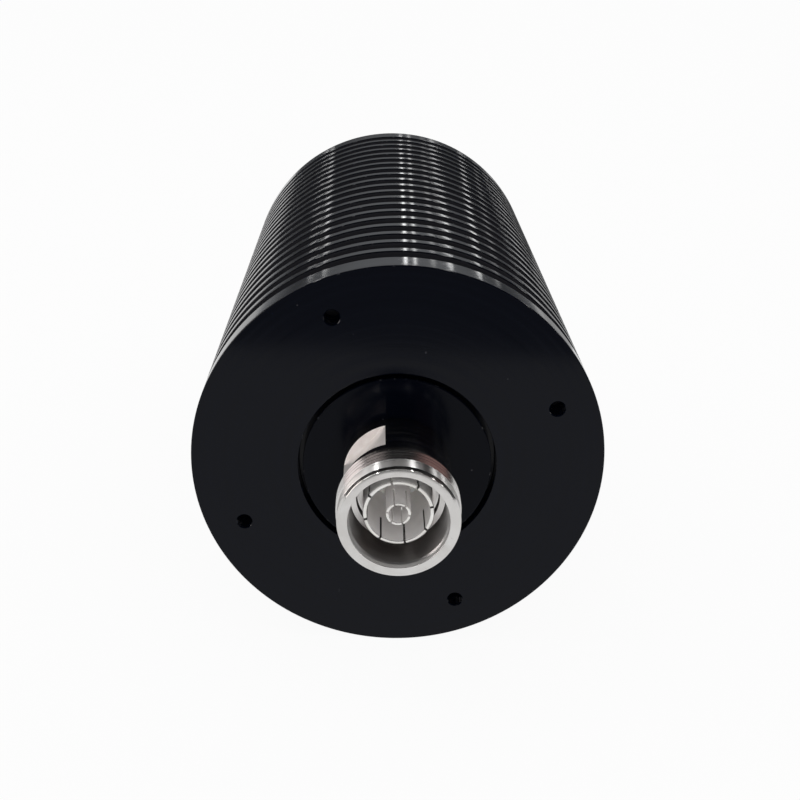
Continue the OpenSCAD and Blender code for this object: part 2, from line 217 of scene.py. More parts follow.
def shade_crisply(piece):
    """Smooth shading that stays flat on flat faces and breaks at the sharp edges."""
    shape = bmesh.new()
    shape.from_mesh(piece.data)
    for face in shape.faces:
        face.smooth = True
    for edge in shape.edges:
        edge.smooth = len(edge.link_faces) == 2 and edge.calc_face_angle() < SMOOTH_ANGLE
    shape.to_mesh(piece.data)
    shape.free()
    weighted = piece.modifiers.new("weighted", "WEIGHTED_NORMAL")
    weighted.keep_sharp = True
    weighted.weight = 100
    apply_modifiers(piece)


def finish_faces(piece, finishes, place_of):
    """Gives a piece its finishes, which are named by place, and each face the one of its place."""
    for finish in finishes.values():
        piece.data.materials.append(finish)
    places = list(finishes)
    for face in piece.data.polygons:
        face.material_index = places.index(place_of(face))


def shader(tree, kind, inputs=(), **settings):
    """A shader node with its settings, and a value or a link for each input named."""
    node = tree.nodes.new("ShaderNode" + kind)
    for name, value in settings.items():
        setattr(node, name, value)
    for name, value in dict(inputs).items():
        if isinstance(value, bpy.types.NodeSocket):
            tree.links.new(value, node.inputs[name])
        else:
            node.inputs[name].default_value = value
    return node


def math_node(tree, operation, *values):
    """What a Math node makes of its values."""
    return shader(tree, "Math", dict(enumerate(values)), operation=operation).outputs[0]


def scaled(tree, value, factor):
    """The value times a factor."""
    return math_node(tree, "MULTIPLY", value, factor)


def ranged(tree, value, low, high, to_low, to_high):
    """The value carried from one range to another, and held within it."""
    inputs = {"Value": value, "From Min": low, "From Max": high, "To Min": to_low, "To Max": to_high}
    return shader(tree, "MapRange", inputs).outputs[0]


def from_noise(tree, noise, low, high, swing=0.2):
    """A value from low to high for a noise, which seldom leaves a half by more than its swing."""
    return ranged(tree, noise, 0.5 - swing, 0.5 + swing, low, high)


def mixed(tree, share, first, second):
    """The first colour where the share is 0, and the second where it is 1."""
    node = shader(tree, "Mix", data_type="RGBA")
    sockets = {socket.name: socket for socket in node.inputs if socket.enabled}
    for name, value in {"Factor": share, "A": first, "B": second}.items():
        if isinstance(value, bpy.types.NodeSocket):
            tree.links.new(value, sockets[name])
        else:
            sockets[name].default_value = value
    return next(socket for socket in node.outputs if socket.enabled)


def object_point(tree):
    """Where a point of the surface lies, in metres."""
    return shader(tree, "TexCoord").outputs["Object"]


def effect(name, takes, gives):
    """A node group with named float inputs and outputs: the tree, what it takes and what it gives."""
    tree = bpy.data.node_groups.new(name, "ShaderNodeTree")
    for label, value in takes.items():
        socket = tree.interface.new_socket(label, in_out="INPUT", socket_type="NodeSocketFloat")
        socket.default_value = value
    for label in gives:
        tree.interface.new_socket(label, in_out="OUTPUT", socket_type="NodeSocketFloat")
    taken = tree.nodes.new("NodeGroupInput").outputs
    given = tree.nodes.new("NodeGroupOutput").inputs
    return tree, taken, given


def use(tree, group, **values):
    """Places an effect in a material with its own values, and returns its outputs."""
    node = tree.nodes.new("ShaderNodeGroup")
    node.node_tree = group
    for name, value in values.items():
        socket = node.inputs[name.replace("_", " ")]
        if isinstance(value, bpy.types.NodeSocket):
            tree.links.new(value, socket)
        else:
            socket.default_value = value
    return node.outputs


# Fine grooves that run round the axis, as a lathe leaves them on faces and cylinders alike, and the
# broader bands between them. Feed and band are their spacings in metres
turning_marks, taken, given = effect(
    "turning marks", {"feed": 0.0001, "band": 0.001}, ("Groove", "Band")
)
point = shader(turning_marks, "SeparateXYZ", {0: object_point(turning_marks)}).outputs
from_axis = math_node(
    turning_marks,
    "SQRT",
    math_node(
        turning_marks,
        "ADD",
        math_node(turning_marks, "MULTIPLY", point["X"], point["X"]),
        math_node(turning_marks, "MULTIPLY", point["Z"], point["Z"]),
    ),
)
tool_path = math_node(turning_marks, "ADD", from_axis, point["Y"])
for label, spacing, detail in (("Groove", "feed", 1.0), ("Band", "band", 2.0)):
    station = math_node(turning_marks, "DIVIDE", tool_path, taken[spacing])
    noise = shader(
        turning_marks,
        "TexNoise",
        {"W": station, "Scale": 1.0, "Detail": detail},
        noise_dimensions="1D",
    )
    turning_marks.links.new(noise.outputs[0], given[label])

# Uneven wear along the outer edges, where the finish has rubbed thin, with its grains to the metre
worn_edges, taken, given = effect(
    "worn edges", {"Worn": 0.0, "cover": 0.4, "grain": 900.0}, ("Mask",)
)
noise = shader(
    worn_edges,
    "TexNoise",
    {
        "Vector": object_point(worn_edges),
        "Scale": taken["grain"],
        "Detail": 3.0,
        "Roughness": 0.65,
    },
)
covered = math_node(worn_edges, "ADD", noise.outputs[0], taken["cover"])
bare = ranged(worn_edges, math_node(worn_edges, "SUBTRACT", covered, 1.0), -0.05, 0.1, 0.0, 1.0)
worn_edges.links.new(math_node(worn_edges, "MULTIPLY", bare, taken["Worn"]), given["Mask"])

# What handling leaves: broad faint smudges and sparse grains of dust, by their number to the metre
handling, taken, given = effect(
    "handling", {"smudge": 40.0, "dust": 900.0, "density": 0.05}, ("Smudge", "Dust")
)
point = object_point(handling)
smear = shader(
    handling,
    "TexNoise",
    {"Vector": point, "Scale": taken["smudge"], "Detail": 3.0, "Distortion": 0.6},
)
handling.links.new(ranged(handling, smear.outputs[0], 0.35, 0.7, 0.0, 1.0), given["Smudge"])
grains = shader(handling, "TexVoronoi", {"Vector": point, "Scale": taken["dust"]})
draw = shader(handling, "SeparateColor", {0: grains.outputs["Color"]}).outputs[0]
chosen = math_node(handling, "LESS_THAN", draw, taken["density"])
speck = ranged(handling, grains.outputs["Distance"], 0.1, 0.22, 1.0, 0.0)
handling.links.new(math_node(handling, "MULTIPLY", speck, chosen), given["Dust"])


def blank_material(name):
    """A new material, its node tree and its Principled shader."""
    material = bpy.data.materials.new(name)
    material.use_nodes = True
    tree = material.node_tree
    return material, tree, tree.nodes["Principled BSDF"]


def feed_shader(tree, principled, **links):
    """Links what changes over the surface to the shader, whose inputs have spaces for underscores."""
    for name, socket in links.items():
        tree.links.new(socket, principled.inputs[name.replace("_", " ")])


def relief(tree, height, strength, depth):
    """The normal of a surface that rises by a height, where 1 is the depth in metres."""
    inputs = {"Height": height, "Strength": strength, "Distance": depth}
    return shader(tree, "Bump", inputs).outputs[0]


def rubbed_edges(tree, cover, grain):
    """The patches where the outer edges of a piece have rubbed thin, as a mask."""
    worn = shader(tree, "Attribute", attribute_name="worn").outputs["Fac"]
    return use(tree, worn_edges, Worn=worn, cover=cover, grain=grain)["Mask"]


def streak_round_axis(tree, principled, spread):
    """Stretches the shine across the grooves that run round the axis."""
    principled.inputs["Anisotropic"].default_value = spread
    principled.inputs["Anisotropic Rotation"].default_value = 0.25
    round_axis = shader(tree, "Tangent", direction_type="RADIAL", axis="Y")
    tree.links.new(round_axis.outputs[0], principled.inputs["Tangent"])


def black_anodised(name, tone, roughness, smudge, specular):
    """Dyed anodic film on turned aluminium, with the grey of the metal at rubbed edges."""
    material, tree, principled = blank_material(name)
    marks = use(tree, turning_marks, feed=0.00016, band=0.0013)
    rubbed = rubbed_edges(tree, cover=0.36, grain=700.0)
    touched = use(tree, handling, smudge=smudge, dust=1100.0, density=0.006)
    lighter_tone = (*(1.5 * part for part in tone), 1.0)
    film = mixed(tree, marks["Band"], (*tone, 1.0), lighter_tone)
    film = mixed(tree, scaled(tree, touched["Dust"], 0.25), film, (0.1, 0.1, 0.11, 1.0))
    film = mixed(tree, scaled(tree, rubbed, 0.3), film, (0.2, 0.2, 0.21, 1.0))
    gloss = from_noise(tree, marks["Band"], roughness - 0.02, roughness + 0.03)
    gloss = math_node(tree, "ADD", gloss, scaled(tree, touched["Smudge"], 0.03))
    grooves = relief(tree, marks["Groove"], strength=0.2, depth=0.000006)
    feed_shader(tree, principled, Base_Color=film, Roughness=gloss, Normal=grooves)
    principled.inputs["Specular IOR Level"].default_value = specular
    streak_round_axis(tree, principled, spread=0.5)
    return material


outline = [
    (cap_seat_radius, 0, seat_edge),
    (body_radius, 0, disc_edge),
    (body_radius, disc_thickness, disc_edge),
    (stem_radius, disc_thickness, fin_root),
]
for fin in range(fin_count):
    near = disc_thickness + fin_gap + fin * (fin_thickness + fin_gap)
    far = near + fin_thickness
    outline += [
        (stem_radius, near, fin_root),
        (body_radius, near, fin_edge),
        (body_radius, far, fin_edge),
        (stem_radius, far, fin_root),
    ]
outline += [
    (stem_radius, body_length - disc_thickness, fin_root),
    (body_radius, body_length - disc_thickness, disc_edge),
    (body_radius, body_length, disc_edge),
    (cap_seat_radius, body_length, seat_edge),
    (cap_seat_radius, body_length - cap_seat_depth, seat_edge),
    (bore_radius, body_length - cap_seat_depth, seat_edge),
    (bore_radius, cap_seat_depth, seat_edge),
    (cap_seat_radius, cap_seat_depth, seat_edge),
]
finned_body = turned("finned_body", outline, BODY_SIDES)

shape = bmesh.new()
lead_in_cone = [
    (0, -tap_overshoot, 0),
    (m3_mouth_radius + tap_overshoot, -tap_overshoot, 0),
    (m3_core_radius, m3_lead_in, 0),
]
revolve(shape, lead_in_cone, M3_SIDES, closed=False)
cut_thread(shape, m3_lead_in, tap_end, m3_pitch, m3_core_radius, m3_radius, M3_SIDES)
revolve(shape, [(m3_core_radius, tap_end, 0), (0, tap_end, 0)], M3_SIDES, closed=False)
tap = made_of("m3_tap", shape)
taps = bmesh.new()
for at_end in (Matrix.Identity(4), TO_REAR):
    for hole in range(hole_count):
        angle = math.radians(90 + hole_turn + hole * 360 / hole_count)
        centre = Vector((math.cos(angle), 0, math.sin(angle))) * hole_circle_radius * MM
        placed = tap.data.copy()
        placed.transform(at_end @ Matrix.Translation(centre))
        taps.from_mesh(placed)
        bpy.data.meshes.remove(placed)
bpy.data.objects.remove(tap)
cut_away(finned_body, taps)
shade_crisply(finned_body)


def place_on_sink(face):
    """Flank for a face between the end discs and below the fins' crests, and outside for the rest."""
    radius = math.hypot(face.center.x, face.center.z) / MM
    between_discs = disc_thickness - SKIN < face.center.y / MM < body_length - disc_thickness + SKIN
    return "flank" if between_discs and radius < body_radius - fin_edge else "outside"


sink_finishes = {
    "outside": black_anodised(
        "black anodised fins", (0.0006, 0.0011, 0.0032), roughness=0.09, smudge=28.0, specular=0.13
    ),
    # The flanks' lighter tone is painted light, which stands in for the light seen in the gaps between
    # the fins; their higher roughness is the parting tool's duller finish.
    "flank": black_anodised(
        "black anodised flanks with painted light", (0.015, 0.015, 0.018), roughness=0.3, smudge=28.0, specular=0.13
    ),
}
finish_faces(finned_body, sink_finishes, place_on_sink)
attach(finned_body, "root")
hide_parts("heat_sink")


# Core
# A round aluminium bar in two halves, milled for the resistor chip and held together by four
# socket-head screws. It slides into the heat sink's bore, and takes the chip's heat to the fins.
def dress(node, material):
    """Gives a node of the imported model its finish."""
    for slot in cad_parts[node].material_slots:
        slot.material = material


# Grain of two sizes, by its number to the metre, and drawn out along the axis where a tool does so
grain, taken, given = effect("grain", {"size": 400.0, "stretch": 1.0}, ("Coarse", "Fine"))
point = shader(grain, "SeparateXYZ", {0: object_point(grain)}).outputs
drawn_out = math_node(grain, "DIVIDE", point["Y"], taken["stretch"])
stretched = shader(grain, "CombineXYZ", {0: point["X"], 1: drawn_out, 2: point["Z"]}).outputs[0]
for label, multiple in (("Coarse", 1.0), ("Fine", 5.0)):
    noise = shader(
        grain,
        "TexNoise",
        {"Vector": stretched, "Scale": scaled(grain, taken["size"], multiple), "Detail": 3.0},
    )
    grain.links.new(noise.outputs[0], given[label])


def grained(name, light, dark, metallic, smooth, rough, size, stretch=1.0):
    """A surface whose colour, gloss and relief follow the grain that its making left."""
    material, tree, principled = blank_material(name)
    texture = use(tree, grain, size=size, stretch=stretch)
    share = from_noise(tree, texture["Coarse"], 0.0, 1.0, swing=0.15)
    feed_shader(
        tree,
        principled,
        Base_Color=mixed(tree, share, (*dark, 1.0), (*light, 1.0)),
        Roughness=from_noise(tree, texture["Fine"], smooth, rough),
        Normal=relief(tree, texture["Fine"], strength=0.5, depth=0.000004),
    )
    principled.inputs["Metallic"].default_value = metallic
    return material


milled = grained(
    "milled aluminium",
    light=(0.78, 0.79, 0.8),
    dark=(0.68, 0.69, 0.71),
    metallic=1.0,
    smooth=0.26,
    rough=0.42,
    size=500.0,
    stretch=9.0,
)
bright_steel = grained(
    "bright steel",
    light=(0.66, 0.66, 0.68),
    dark=(0.56, 0.56, 0.58),
    metallic=1.0,
    smooth=0.2,
    rough=0.34,
    size=900.0,
)
dress("core_base", milled)
dress("core_lid", milled)
dress("lid_screws", bright_steel)


# Resistor chip
# A ceramic plate with printed silver pads and a printed resistor ladder, under a ceramic cover.
# It is soldered to a copper flange, which four screws clamp to the floor of the core's pocket.
copper = grained(
    "bare copper",
    light=(0.78, 0.43, 0.27),
    dark=(0.62, 0.33, 0.21),
    metallic=1.0,
    smooth=0.24,
    rough=0.4,
    size=160.0,
    stretch=6.0,
)
ceramic = grained(
    "fired ceramic",
    light=(0.9, 0.89, 0.86),
    dark=(0.84, 0.83, 0.8),
    metallic=0.0,
    smooth=0.5,
    rough=0.66,
    size=1500.0,
)
silver_print = grained(
    "fired silver",
    light=(0.84, 0.83, 0.8),
    dark=(0.7, 0.69, 0.66),
    metallic=0.9,
    smooth=0.42,
    rough=0.6,
    size=1800.0,
)
resistor_print = grained(
    "fired resistor paste",
    light=(0.05, 0.05, 0.055),
    dark=(0.025, 0.025, 0.03),
    metallic=0.0,
    smooth=0.4,
    rough=0.6,
    size=1600.0,
)
tinned = grained(
    "tinned tab",
    light=(0.8, 0.79, 0.76),
    dark=(0.7, 0.69, 0.67),
    metallic=1.0,
    smooth=0.24,
    rough=0.36,
    size=700.0,
)
dress("chip_flange", copper)
dress("chip_screws", bright_steel)
dress("ceramic_plate", ceramic)
dress("ceramic_cover", ceramic)
dress("printed_conductors", silver_print)
dress("resistor_film", resistor_print)
dress("front_tab", tinned)
dress("rear_tab", tinned)


# End caps
# A black anodised disc with a threaded body is screwed into each end of the bore. Its flange
# lies in the face, a little below it, with an open ring round it.
cap_radius = 16.0
cap_setback = 0.1
cap_length = 12.1
cap_body_radius = 14.95
cap_hole_radius = 7.05
cap_edge = 0.25
cap_inner_edge = 0.1
black_cap = black_anodised(
    "black anodised cap", (0.0005, 0.0009, 0.0024), roughness=0.12, smudge=60.0, specular=0.075
)
outline = [
    (cap_hole_radius, -cap_setback, cap_inner_edge),
    (cap_radius, -cap_setback, cap_edge),
    (cap_radius, -cap_seat_depth, cap_inner_edge),
    (cap_body_radius, -cap_seat_depth, cap_inner_edge),
    (cap_body_radius, -cap_length, cap_edge),
    (cap_hole_radius, -cap_length, cap_inner_edge),
]
for end in ("front", "rear"):
    cap = turned(f"{end}_end_cap", outline, BODY_SIDES, facing=-1)
    shade_crisply(cap)
    cap.data.materials.append(black_cap)
    if end == "rear":
        cap.data.transform(TO_REAR)
    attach(cap, "root")
    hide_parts(f"{end}_cap")


# Jack shells
# The body of each jack is turned and bored from brass, threaded M20 by 1 for the plug's nut,
# milled with two wrench flats and plated, and each tool's finish shows through the plating. Its
# spigot is screwed into the cap.
spigot_radius = 7.0
neck_radius = 9.0
flat_start = 2.6
flat_end = 10.0
flat_distance = 7.5
flat_turn = 139.0
thread_start = 12.9
thread_end = 17.0
thread_radius = 9.9
thread_core_radius = 9.35
thread_pitch = 1.0
band_radius = 9.65
band_end = 19.58
lip_start = 19.88
rim_round = 0.08
rim_radius = 9.25
rim_height = 20.0
mouth_radius = 7.95
mouth_floor = 18.7
mouth_lead_in = 0.3
well_radius = 7.7
well_floor = 11.3
recess_radius = 6.7
recess_floor = 9.6
contact_seat_radius = 5.62
bead_shoulder = -3.0
line_radius = 5.0
break_edge = 0.06
JACK_SIDES = 160


def add_block(shape, size, centre, turn=0.0):
    """Adds a block to a mesh, and turns it about the Y axis by an angle in degrees."""
    turning = Matrix.Rotation(-math.radians(turn), 4, "Y")
    placing = Matrix.Translation(Vector(centre) * MM)
    sizing = Matrix.Diagonal((*(Vector(size) * MM), 1.0))
    bmesh.ops.create_cube(shape, size=1.0, matrix=turning @ placing @ sizing)


def plated(name, light, shade, roughness, spread, metallic=1.0):
    """Bright plating over turned metal: the marks of the tool still show through it."""
    material, tree, principled = blank_material(name)
    marks = use(tree, turning_marks, feed=0.00009, band=0.0007)
    rubbed = rubbed_edges(tree, cover=0.5, grain=1800.0)
    touched = use(tree, handling, smudge=220.0, dust=2400.0, density=0.02)
    metal = mixed(tree, touched["Smudge"], (*light, 1.0), (*shade, 1.0))
    metal = mixed(tree, touched["Dust"], metal, (0.35, 0.33, 0.31, 1.0))
    gloss = from_noise(tree, marks["Band"], roughness - 0.05, roughness + 0.06)
    gloss = math_node(tree, "ADD", gloss, scaled(tree, touched["Smudge"], 0.07))
    gloss = math_node(tree, "SUBTRACT", gloss, scaled(tree, rubbed, 0.06))
    grooves = relief(tree, marks["Groove"], strength=0.4, depth=0.000008)
    feed_shader(tree, principled, Base_Color=metal, Roughness=gloss, Normal=grooves)
    principled.inputs["Metallic"].default_value = metallic
    streak_round_axis(tree, principled, spread)
    return material


flat_angle = math.radians(flat_turn)
flat_facing = Vector((math.cos(flat_angle), 0, math.sin(flat_angle)))


def place_on_shell(face):
    """Which of a front shell's surfaces a face is part of."""
    height = -face.center.y / MM
    radius = math.hypot(face.center.x, face.center.z) / MM
    off_middle = abs(face.center.dot(flat_facing)) / MM
    if thread_end < height < band_end and radius > neck_radius:
        return "band"
    if thread_start < height < thread_end and radius > neck_radius:
        return "thread"
    if flat_start - SKIN < height < flat_end + SKIN and radius < neck_radius - SKIN:
        return "flat" if off_middle > flat_distance - SKIN else "rest"
    if height > rim_height - break_edge:
        return "rest"
    if height > mouth_floor + mouth_lead_in and radius < mouth_radius + SKIN:
        return "mouth"
    if height > well_floor + 2 * break_edge and well_radius - SKIN < radius < mouth_radius:
        return "well"
    return "rest"


plating = (0.61, 0.6, 0.59)
plating_shade = (0.53, 0.515, 0.5)
shell_finishes = {
    "rest": plated("polished plating", plating, plating_shade, roughness=0.12, spread=0.3),
    "band": plated("turned plating", plating, plating_shade, roughness=0.31, spread=0.98),
    "thread": plated("threaded plating", plating, plating_shade, roughness=0.15, spread=0.4),
    "flat": grained(
        "milled plating",
        light=(0.94, 0.9, 0.88),
        dark=(0.88, 0.83, 0.8),
        metallic=0.55,
        smooth=0.32,
        rough=0.42,
        size=700.0,
    ),
    "well": plated(
        "bored plating", (0.6, 0.595, 0.59), (0.52, 0.51, 0.5), roughness=0.36, spread=0.5
    ),
    "mouth": plated(
        "matte plating", plating, plating_shade, roughness=0.5, spread=0.0, metallic=0.5
    ),
}
outline = [
    (thread_core_radius, thread_end, 0),
    (band_radius, thread_end, break_edge),
    (band_radius, band_end, break_edge),
    (rim_radius, lip_start, 0),
    (rim_radius, rim_height, rim_round),
    (mouth_radius, rim_height, break_edge),
    (mouth_radius, mouth_floor + mouth_lead_in, break_edge),
    (well_radius, mouth_floor, break_edge),
    (well_radius, well_floor, break_edge),
    (recess_radius, well_floor, break_edge),
    (recess_radius, recess_floor, break_edge),
    (contact_seat_radius, recess_floor, 0),
    (contact_seat_radius, bead_shoulder, 0),
    (line_radius, bead_shoulder, 0),
    (line_radius, -cap_length, break_edge),
    (spigot_radius, -cap_length, break_edge),
    (spigot_radius, -cap_setback, 0),
    (neck_radius, -cap_setback, break_edge),
    (neck_radius, thread_start, 2 * break_edge),
    (thread_core_radius, thread_start, 0),
]
for end in ("front", "rear"):
    shape = bmesh.new()
    revolve(shape, rounded(outline), JACK_SIDES, facing=-1, closed=False)
    cut_thread(
        shape,
        thread_start,
        thread_end,
        thread_pitch,
        thread_core_radius,
        thread_radius,
        JACK_SIDES,
        facing=-1,
    )
    jack = made_of(f"{end}_jack_body", shape)
    cutters = bmesh.new()
    for turn in (0, 180):
        add_block(
            cutters,
            size=(2 * neck_radius, flat_end - flat_start, 2 * neck_radius),
            centre=(flat_distance + neck_radius, -(flat_start + flat_end) / 2, 0),
            turn=flat_turn + turn,
        )
    cut_away(jack, cutters)
    shade_crisply(jack)
    finish_faces(jack, shell_finishes, place_on_shell)
    if end == "rear":
        jack.data.transform(TO_REAR)
    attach(jack, "root")
    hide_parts(f"{end}_shell")


# Insulating beads
# A turned ring of white fluoropolymer carries each inner conductor on the axis. It is pushed in
# from the mouth onto a shoulder of the shell, and the foot of the outer contact holds it there.
bead_radius = 5.6
bead_top = 1.0
bead_bore_radius = 1.72
bead_edge = 0.12
BEAD_SIDES = 96
fluoropolymer, tree, principled = blank_material("white fluoropolymer")
marks = use(tree, turning_marks, feed=0.00012, band=0.0009)
touched = use(tree, handling, smudge=300.0, dust=3000.0, density=0.02)
feed_shader(
    tree,
    principled,
    Base_Color=mixed(tree, touched["Smudge"], (0.88, 0.87, 0.83, 1.0), (0.8, 0.79, 0.74, 1.0)),
    Roughness=from_noise(tree, marks["Band"], 0.38, 0.52),
    Normal=relief(tree, marks["Groove"], strength=0.5, depth=0.00001),
)
principled.inputs["Subsurface Weight"].default_value = 0.15
principled.inputs["Subsurface Scale"].default_value = 0.002
outline = [
    (bead_bore_radius, bead_shoulder, 0),
    (bead_radius, bead_shoulder, bead_edge),
    (bead_radius, bead_top, bead_edge),
    (bead_bore_radius, bead_top, bead_edge),
]
for end in ("front", "rear"):
    bead = turned(f"{end}_insulator", outline, BEAD_SIDES, facing=-1)
    shade_crisply(bead)
    bead.data.materials.append(fluoropolymer)
    if end == "rear":
        bead.data.transform(TO_REAR)
    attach(bead, "root")
    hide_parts(f"{end}_bead")


# Outer contacts
# A thin tube of spring bronze stands on the bead, sawn into eight fingers with a raised lip. Its silver
# plating is bright on the end and matte on the sides, and the walls of the saw cuts are painted near
# black, as painted shade.
tube_radius = 5.6
finger_radius = 5.48
lip_length = 0.9
tube_tip = 16.65
tube_slots = 8
tube_slot_length = 6.4
tube_slot_width = 0.35
tube_slot_turn = 14.0
lip_round = 0.1
lip_step_round = 0.05
CONTACT_SIDES = 128
# Share of a face's normal along the axis above which it is an end, and away from the axis below
# which it is the wall of a slot
END_FACING = 0.3
SLOT_FACING = 0.5


def saw_slots(piece, count, turn, width, length, radius, tip):
    """Saws slots from the tip of a contact, one for each finger."""
    blades = bmesh.new()
    blade_depth = 1.2 * radius
    for slot in range(count):
        add_block(
            blades,
            size=(blade_depth, 2 * length, width),
            centre=(radius, -tip, 0),
            turn=turn + slot * 360 / count,
        )
    cut_away(piece, blades)


def place_on_contact(face):
    """Whether a face is on an end, a side or the wall of a slot."""
    outward = Vector((face.center.x, 0, face.center.z)).normalized()
    if abs(face.normal.y) > END_FACING:
        return "end"
    return "slot" if abs(face.normal.dot(outward)) < SLOT_FACING else "side"


bright_silver = plated(
    "silver-plated bronze", (0.78, 0.77, 0.75), (0.7, 0.69, 0.66), roughness=0.2, spread=0.3
)
matte_silver = plated(
    "matte silver",
    (0.94, 0.92, 0.91),
    (0.88, 0.86, 0.85),
    roughness=0.55,
    spread=0.0,
    metallic=0.25,
)
# The saw cuts' walls are painted near black: painted shade, which stands in for the dark inside the
# narrow cuts.
slot_shade_paint = grained(
    "saw cut walls with painted shade",
    light=(0.075, 0.068, 0.06),
    dark=(0.045, 0.04, 0.035),
    metallic=0.3,
    smooth=0.45,
    rough=0.65,
    size=1800.0,
)
tube_finishes = {"end": bright_silver, "side": matte_silver, "slot": slot_shade_paint}
outline = [
    (line_radius, bead_top, 0),
    (tube_radius, bead_top, 0),
    (tube_radius, recess_floor, 0),
    (finger_radius, recess_floor + tube_radius - finger_radius, 0),
    (finger_radius, tube_tip - lip_length - lip_round, 0),
    (tube_radius, tube_tip - lip_length, lip_step_round),
    (tube_radius, tube_tip, lip_round),
    (line_radius, tube_tip, lip_round),
]
for end in ("front", "rear"):
    tube = turned(f"{end}_outer_fingers", outline, CONTACT_SIDES, facing=-1)
    saw_slots(
        tube,
        tube_slots,
        tube_slot_turn,
        tube_slot_width,
        tube_slot_length,
        tube_radius,
        tube_tip,
    )
    shade_crisply(tube)
    finish_faces(tube, tube_finishes, place_on_contact)
    if end == "rear":
        tube.data.transform(TO_REAR)
    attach(tube, "root")
    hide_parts(f"{end}_outer_contact")


# Inner contacts
# Each inner conductor is one turned piece of bronze: a slotted socket for the plug's pin, a rod
# through the bead and a pin at the back, sawn to take the chip's tab. It is silver plated too.
socket_radius = 2.0
socket_bore_radius = 1.5
socket_tip = 17.0
socket_length = 8.0
socket_depth = 7.0
socket_slots = 6
socket_slot_length = 5.0
socket_slot_width = 0.3
socket_slot_turn = 53.0
rod_radius = 2.15
bead_neck_radius = 1.7
bead_clearance = 0.02
solder_pin_radius = 1.0
solder_pin_end = -22.1
tab_slot_depth = 2.0
tab_slot_height = 0.26
drill_point = 0.8
socket_round = 0.1
conductor_finishes = {"end": bright_silver, "side": matte_silver, "slot": matte_silver}
outline = [
    (0, solder_pin_end, 0),
    (solder_pin_radius, solder_pin_end, socket_round),
    (solder_pin_radius, -cap_length, socket_round),
    (rod_radius, -cap_length, socket_round),
    (rod_radius, bead_shoulder - bead_clearance, 0),
    (bead_neck_radius, bead_shoulder - bead_clearance, 0),
    (bead_neck_radius, bead_top + bead_clearance, 0),
    (rod_radius, bead_top + bead_clearance, 0),
    (rod_radius, socket_tip - socket_length, break_edge),
    (socket_radius, socket_tip - socket_length, break_edge),
    (socket_radius, socket_tip, socket_round),
    (socket_bore_radius, socket_tip, socket_round),
    (socket_bore_radius, socket_tip - socket_depth, 0),
    (0, socket_tip - socket_depth - drill_point, 0),
]
for end in ("front", "rear"):
    conductor = turned(f"{end}_inner_conductor", outline, CONTACT_SIDES, facing=-1, closed=False)
    saw_slots(
        conductor,
        socket_slots,
        socket_slot_turn,
        socket_slot_width,
        socket_slot_length,
        socket_radius,
        socket_tip,
    )
    tab_saw = bmesh.new()
    add_block(
        tab_saw,
        size=(4 * solder_pin_radius, 2 * tab_slot_depth, tab_slot_height),
        centre=(0, -solder_pin_end, 0),
    )
    cut_away(conductor, tab_saw)
    shade_crisply(conductor)
    finish_faces(conductor, conductor_finishes, place_on_contact)
    if end == "rear":
        conductor.data.transform(TO_REAR)
    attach(conductor, "root")
    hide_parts(f"{end}_inner_contact")


# Studio
# A white floor and a soft white surround, with a dark tent, darker patches on the table and strip lamps
# that only show in reflections: they draw the streaks along the fins' crests and the patches on the
# jack's band.
floor_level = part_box("heat_sink")[0].z / MM
floor_size = 24000.0
card_foot = -34.0
white = (1.0, 1.0, 1.0)
# Share of the floor's white that is its own glow: the rest is lit, and keeps the part's shadow
floor_glow = 0.94
# How brightly the surround lights the part, where 1 is the white that the camera sees
surround_light = 0.75


def stage_material(name):
    """A new material with no shader yet, its node tree and the socket for its surface."""
    material, tree, principled = blank_material(name)
    tree.nodes.remove(principled)
    return material, tree, tree.nodes["Material Output"].inputs["Surface"]


def seen_directly(tree):
    """1 for rays from the camera, off gloss or through glass, and 0 for those that light things."""
    rays = shader(tree, "LightPath").outputs
    seen = math_node(tree, "ADD", rays["Is Camera Ray"], rays["Is Glossy Ray"])
    seen = math_node(tree, "ADD", seen, rays["Is Transmission Ray"])
    return math_node(tree, "MINIMUM", seen, 1.0)


shape = bmesh.new()
bmesh.ops.create_grid(shape, x_segments=1, y_segments=1, size=floor_size / 2 * MM)
bmesh.ops.translate(shape, vec=(0, 0, floor_level * MM), verts=shape.verts)
floor = made_of("studio_floor", shape)
material, tree, surface = stage_material("white floor")
share = scaled(tree, seen_directly(tree), floor_glow)
lit = shader(tree, "BsdfDiffuse", {"Color": (0.8, 0.8, 0.8, 1.0)})
glow = shader(tree, "Emission", {"Color": (*white, 1.0), "Strength": 1.0})
blend = shader(tree, "MixShader", {0: share, 1: lit.outputs[0], 2: glow.outputs[0]})
tree.links.new(blend.outputs[0], surface)
floor.data.materials.append(material)

world = bpy.data.worlds.new("white surround")
bpy.context.scene.world = world
world.use_nodes = True
tree = world.node_tree
background = tree.nodes["Background"]
background.inputs["Color"].default_value = (*white, 1.0)
strength = ranged(tree, seen_directly(tree), 0.0, 1.0, surround_light, 1.0)
tree.links.new(strength, background.inputs["Strength"])


def glow_in_reflections(piece, brightness, tint=white, foot=None):
    """Makes a piece glow from foot's brightness up to its own, where only reflections show it."""
    material, tree, surface = stage_material(piece.name)
    strength = brightness
    if foot is not None:
        heights = [vertex.co.z for vertex in piece.data.vertices]
        height = shader(tree, "SeparateXYZ", {0: object_point(tree)}).outputs["Z"]
        strength = ranged(tree, height, min(heights), max(heights), foot, brightness)
    glow = shader(tree, "Emission", {"Color": (*tint, 1.0), "Strength": strength})
    tree.links.new(glow.outputs[0], surface)
    piece.data.materials.append(material)
    piece.visible_camera = False
    piece.visible_diffuse = False
    piece.visible_shadow = False
    piece.visible_transmission = False


